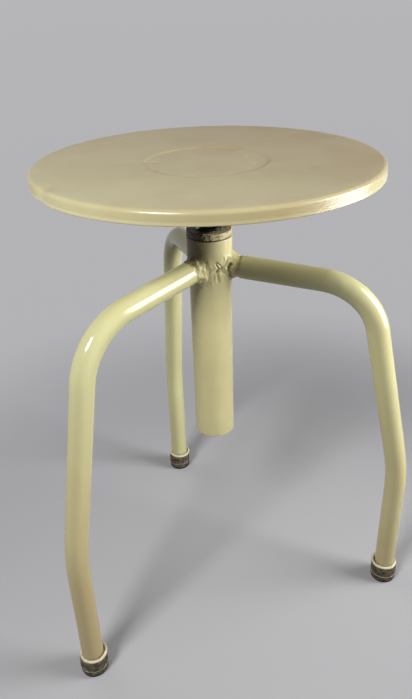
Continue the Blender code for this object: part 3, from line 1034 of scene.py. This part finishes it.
def leg_stain(place):
    """Grime at the weld and where the tube enters its foot."""
    near_weld = ramp(place.xy.length - arm_end_reach, weld_grime_reach, 0.0)
    in_foot = ramp(place.z - foot_height, *foot_grime_band)
    return weld_grime_share * near_weld + foot_grime_share * in_foot


def leg_age(name):
    """The front legs turn yellower and duller from the foot up, and the rear one hardly at all."""
    at_arm, at_foot, low, high = leg_yellowing[name]
    return lambda place: at_foot + (at_arm - at_foot) * ramp(place.z, low, high)


def leg_scuff(place):
    """Coarse paint in one patch on the right arm."""
    return bell((place - Vector(scuff_place)).length, scuff_width)


def make_weld(name, seed):
    """A lumpy fillet that runs from the arm's square end onto the column, spun about the arm."""
    spread_above, spread_below, lumpy, gritty = weld_looks[name]
    chain = []
    for step in range(weld_rows + 1):
        turn = pi / 2 * step / weld_rows
        chain.append((leg_radius - weld_throat + weld_spread * (1 - cos(turn)), arm_end * sin(turn)))
    chain += run(chain[-1], (weld_core_radius, arm_end), weld_back_rows)[1:]
    chain += [(weld_core_radius, arm_end), (weld_core_radius, 0)]
    shape = spun(chain, weld_steps)
    sunk_radius = column_radius - weld_sink
    for knot in shape.verts:
        angle = atan2(knot.co.y, knot.co.x)
        reach = knot.co.xy.length
        share = knot.co.z / arm_end
        if reach > weld_core_radius + weld_throat:
            above = 0.5 + 0.5 * sin(angle)
            spread = (spread_below + (spread_above - spread_below) * above) / weld_spread
            reach = leg_radius - weld_throat + (reach - leg_radius + weld_throat) * spread
            rough = lumpy * weld_lump * lump(knot.co, weld_lump_size, seed)
            rough += gritty * weld_grit * lump(knot.co, weld_grit_size, seed)
            inward = ramp(share, 0.0, weld_smooth_end)
            reach += rough * (weld_end_roughness + (1 - weld_end_roughness) * inward)
        side = reach * cos(angle)
        lift = reach * sin(angle)
        on_column = (sqrt(max(0.0, sunk_radius ** 2 - side ** 2)) - lift * sin(arm_slope)) / cos(arm_slope)
        along = arm_end + (on_column - arm_end) * share
        knot.co = arm_origin + arm_along * along + arm_upward * lift + Vector((0, side, 0))
    bmesh.ops.recalc_face_normals(shape, faces=shape.faces)
    swing(shape, leg_headings[name], "Z")
    shape.normal_update()
    for knot in shape.verts:
        knot.co -= weld_furrow(knot.co) * knot.normal
        knot.co.xy *= max(1.0, (column_radius - gash_floor) / knot.co.xy.length)
    return shape


def weld_stain_and_shade(place):
    """Grime at the foot of the weld and in its gashes and folds, and grease with painted shade on the left.
    """
    foot = ramp(place.xy.length - column_radius, weld_grime_reach, 0.0)
    return max(weld_foot_share * foot, weld_stain_and_shade_share * column_stain_and_shade(place))


for seed, name in enumerate(leg_names):
    settle(make_leg(name), "tube_leg_" + name, "base", ["leg_" + name], frame_enamel,
           {"stain_and_shade": leg_stain, "age": leg_age(name), "pits": leg_scuff})
    settle(make_weld(name, 4.0 + 7 * seed), "weld_bead_" + name, "base", ["weld_" + name],
           weld_enamel, {"stain_and_shade": weld_stain_and_shade})


# Feet
foot_lip_radius = foot_bore + foot_lip_width
# Where each foot stands off its tube
gap_headings = {"front_left": radians(10), "front_right": radians(185), "rear": radians(-20)}


def make_foot(name, seed):
    lip = foot_lip_width / 2
    neck = foot_height - foot_neck_depth
    groove = foot_groove_width / 2
    ridge = foot_ridge_width / 2
    ridge_height = foot_groove_height + foot_groove_width + ridge
    profile = [(0, foot_base_thickness)]
    profile += run((foot_bore, foot_base_thickness), (foot_bore, foot_height - lip), 8)
    profile += arc(foot_bore + lip, foot_height - lip, lip, 180, 0, 10)
    profile += arc(foot_lip_radius, neck - foot_neck, foot_neck, 140, 220, 4)
    profile += run((foot_lip_radius, neck - 3 * foot_neck), (foot_radius, ridge_height + ridge), 14)
    profile += arc(foot_radius, ridge_height, ridge, 70, -70, 6)
    profile += arc(foot_radius, foot_groove_height + groove, groove, 110, 250, 8)
    profile += run((foot_radius, foot_groove_height), (foot_radius, foot_edge_radius), 3)
    profile += arc(foot_radius - foot_edge_radius, foot_edge_radius, foot_edge_radius, 0, -90, 8)
    profile += [(0, 0)]
    shape = spun(profile, round_steps)
    towards_gap = Vector((cos(gap_headings[name]), sin(gap_headings[name]), 0))
    for knot in shape.verts:
        reach = knot.co.xy.length
        if reach > foot_bore - foot_bore_margin and knot.co.z > foot_sole_height:
            worn = lump(knot.co, foot_wear_size, seed) - foot_wear_inward
            worn += foot_grit_share * lump(knot.co, foot_wear_size / 3, seed)
            knot.co += foot_wear * worn * Vector((knot.co.x, knot.co.y, 0)).normalized()
        knot.co += foot_gap_shift * ramp(knot.co.z, foot_shift_start, foot_height) * towards_gap
    bmesh.ops.translate(shape, verts=shape.verts, vec=foot_centres[name])
    return shape


def rubbed_lip_and_ridge_highlight(place):
    """Pale worn lip, and a painted highlight along the ridge above the groove."""
    lip = ramp(foot_height - place.z, *foot_lip_band)
    ridge = foot_groove_height + foot_groove_width + foot_ridge_width / 2
    return max(lip, ridge_highlight_share * bell(place.z - ridge, ridge_highlight_width))


def sooty_sole_and_shade(place):
    """Black on the sole, part soot and part painted contact shadow, and painted shade in the groove."""
    groove = bell(place.z - foot_groove_height - foot_groove_width / 2, groove_shade_width)
    return max(ramp(place.z, *foot_soot_and_shade_band), groove_shade_share * groove)


for seed, name in enumerate(leg_names):
    settle(make_foot(name, 11.0 + 5 * seed), "ferrule_" + name, "base", ["foot_" + name],
           foot_rubber, {"rubbed_and_highlight": rubbed_lip_and_ridge_highlight, "soot_and_shade": sooty_sole_and_shade})

for name in ["guide_ring", "stop_washer", "stop_bolt"] + ["foot_washer_" + name for name in leg_names]:
    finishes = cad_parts[name].data.materials
    finishes.clear()
    finishes.append(turned_steel)


# Floor, light and camera
photo_height = 699
focal_length_px = 650.75
sensor_width_mm = 36
camera_place = Vector((0, -0.6589, 0.7002))
camera_yaw = -0.0117
camera_pitch = 0.5076
camera_roll = 0.0363
floor_size = 300
floor_drop = 0.0003
floor_pale = (0.40, 0.40, 0.412, 1)
floor_bounce = (0.12, 0.12, 0.124, 1)
floor_far = (0.44, 0.44, 0.453, 1)
floor_dark = (0, 0, 0, 1)
floor_lit_reach = 0.32
floor_far_reach = 0.85
world_light = 0.07
world_tone = (0.97, 0.97, 1.0, 1)
world_seen = 0.453


def seen_share(tree):
    """1 for the rays that look at the backdrop, straight or in a reflection, and 0 for its bounced light."""
    path = add(tree, "LightPath").outputs
    reflected = calculated(tree, "MAXIMUM", path["Is Glossy Ray"], path["Is Transmission Ray"])
    return calculated(tree, "MAXIMUM", path["Is Camera Ray"], reflected)


def make_floor():
    """A pale floor that takes shadows near the stool, and keeps one even tone further off."""
    values = {"Roughness": 0.85, "Specular IOR Level": 0.2, "Emission Strength": 1.0}
    material, tree, shader = new_material("floor_paint", values)
    seen = seen_share(tree)
    place = add(tree, "TexCoord").outputs["Object"]
    away = add(tree, "VectorMath", {0: place}, operation="LENGTH").outputs["Value"]
    far = mask(tree, away, floor_lit_reach, floor_far_reach)
    near = mixed(tree, far, floor_pale, floor_dark)
    tree.links.new(mixed(tree, seen, floor_bounce, near), shader.inputs["Base Color"])
    glow = mixed(tree, calculated(tree, "MULTIPLY", far, seen), floor_dark, floor_far)
    tree.links.new(glow, shader.inputs["Emission Color"])
    shape = bmesh.new()
    bmesh.ops.create_grid(shape, x_segments=1, y_segments=1, size=floor_size / 2,
                          matrix=Matrix.Translation((0, 0, -floor_drop)))
    floor = as_object(shape, "floor")
    floor.data.materials.append(material)


def make_lamp(name, place, target, width, height, power, spread=180, mirrored=True):
    """A soft box that the camera doesn't see, with a beam spread in degrees, mirrored in paint or not."""
    light = bpy.data.lights.new(name, "AREA")
    light.shape = "RECTANGLE"
    light.size = width
    light.size_y = height
    light.energy = power
    light.spread = radians(spread)
    lamp = bpy.data.objects.new(name, light)
    lamp.location = place
    lamp.rotation_euler = (Vector(target) - Vector(place)).to_track_quat("-Z", "Y").to_euler()
    lamp.visible_camera = False
    lamp.visible_glossy = mirrored
    scene.collection.objects.link(lamp)


def make_world():
    """Even light from all round, with the far floor's tone where it is seen."""
    world = bpy.data.worlds.new("studio")
    world.use_nodes = True
    tree = world.node_tree
    strength = scaled(tree, seen_share(tree), world_seen - world_light, world_light)
    sky = tree.nodes["Background"]
    sky.inputs["Color"].default_value = world_tone
    tree.links.new(strength, sky.inputs["Strength"])
    scene.world = world


def make_camera():
    """The camera that was fitted to the photo: turned, tipped down and rolled."""
    lens = bpy.data.cameras.new("camera")
    lens.sensor_width = sensor_width_mm
    lens.lens = lens.sensor_width * focal_length_px / photo_height
    lens.clip_end = 2 * floor_size
    camera = bpy.data.objects.new("camera", lens)
    tipped = Matrix.Rotation(-camera_yaw, 4, "Z") @ Matrix.Rotation(pi / 2 - camera_pitch, 4, "X")
    rolled = Matrix.Rotation(-camera_roll, 4, "Z")
    camera.matrix_world = Matrix.Translation(camera_place) @ tipped @ rolled
    scene.collection.objects.link(camera)
    scene.camera = camera


make_floor()
make_lamp("right_window", (1.37, -0.24, 0.94), (0, 0, 0.38), width=0.7, height=0.7, power=13)
make_lamp("right_lamp", (0.76, -0.07, 0.50), (0, 0, 0.44), width=0.45, height=0.50, power=2.6, spread=110)
make_lamp("left_window", (-0.61, -0.975, 1.344), (0, 0, 0.38), width=0.4, height=0.4, power=20)
make_lamp("back_window", (-1.13, 0.95, 0.64), (0, 0, 0.38), width=1.3, height=1.0, power=6,
          mirrored=False)
make_world()
make_camera()
scene.view_settings.view_transform = "Standard"
